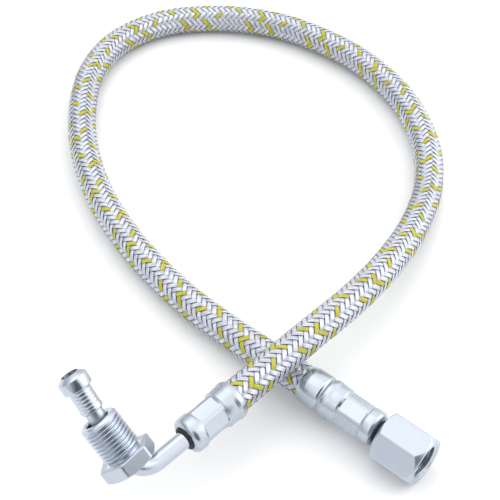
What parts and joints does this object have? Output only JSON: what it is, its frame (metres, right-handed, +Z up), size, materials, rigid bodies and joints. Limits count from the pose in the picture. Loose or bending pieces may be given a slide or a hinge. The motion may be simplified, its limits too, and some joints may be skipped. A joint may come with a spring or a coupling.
{
  "type": "braided hydraulic supply line",
  "caption": "Wire-braided supply hose in one open loop, with a bent pipe end carrying a hollow union screw at one end and a hexagonal swivel nut at the other.",
  "frame": {"origin": "on the surface that the hose lies on, at the middle of the box round the metal fittings of both ends", "axes": "+Z up, +X along the row of the two end fittings towards the swivel nut, +Y from the fittings towards the far bend of the hose loop"},
  "size_m": [0.1558, 0.2578, 0.0502],
  "materials": {
    "liner_rubber": "matt black rubber",
    "textile": "undyed textile cord",
    "braid_wire": "bright braided wire with olive-yellow tracer strands",
    "zinc_ferrule": "bright zinc plate, pressed",
    "zinc_pipe": "bright zinc plate, drawn",
    "zinc_turned": "bright zinc plate, turned and cut",
    "spring_wire": "plain drawn wire"
  },
  "bodies": {
    "hose_and_stems": {"hose_liner": "liner_rubber", "hose_textile_ply": "textile", "hose_wire_braid": "braid_wire", "elbow_ferrule": "zinc_ferrule", "elbow_pipe": "zinc_pipe", "nipple": "zinc_turned", "swivel_ferrule": "zinc_ferrule", "swivel_tail": "zinc_turned"},
    "screw": {"union_screw": "zinc_turned"},
    "wire": {"thrust_wire": "spring_wire"},
    "nut": {"swivel_nut": "zinc_turned"}
  },
  "joints": [
    {"name": "union_screw_spin", "type": "hinge", "parent": "hose_and_stems", "child": "screw", "pos_m": [-0.04435, -0.0148, 0.02953], "axis": [-0.566, 0.4477, 0.6922], "continuous": true},
    {"name": "thrust_wire_float", "type": "slide", "parent": "hose_and_stems", "child": "wire", "axis": [0.766, -0.6428, 0], "range_m": [-0.0005, 0]},
    {"name": "swivel_nut_spin", "type": "hinge", "parent": "wire", "child": "nut", "pos_m": [0.04871, -0.00441, 0.0085], "axis": [0.766, -0.6428, 0], "continuous": true}
  ]
}
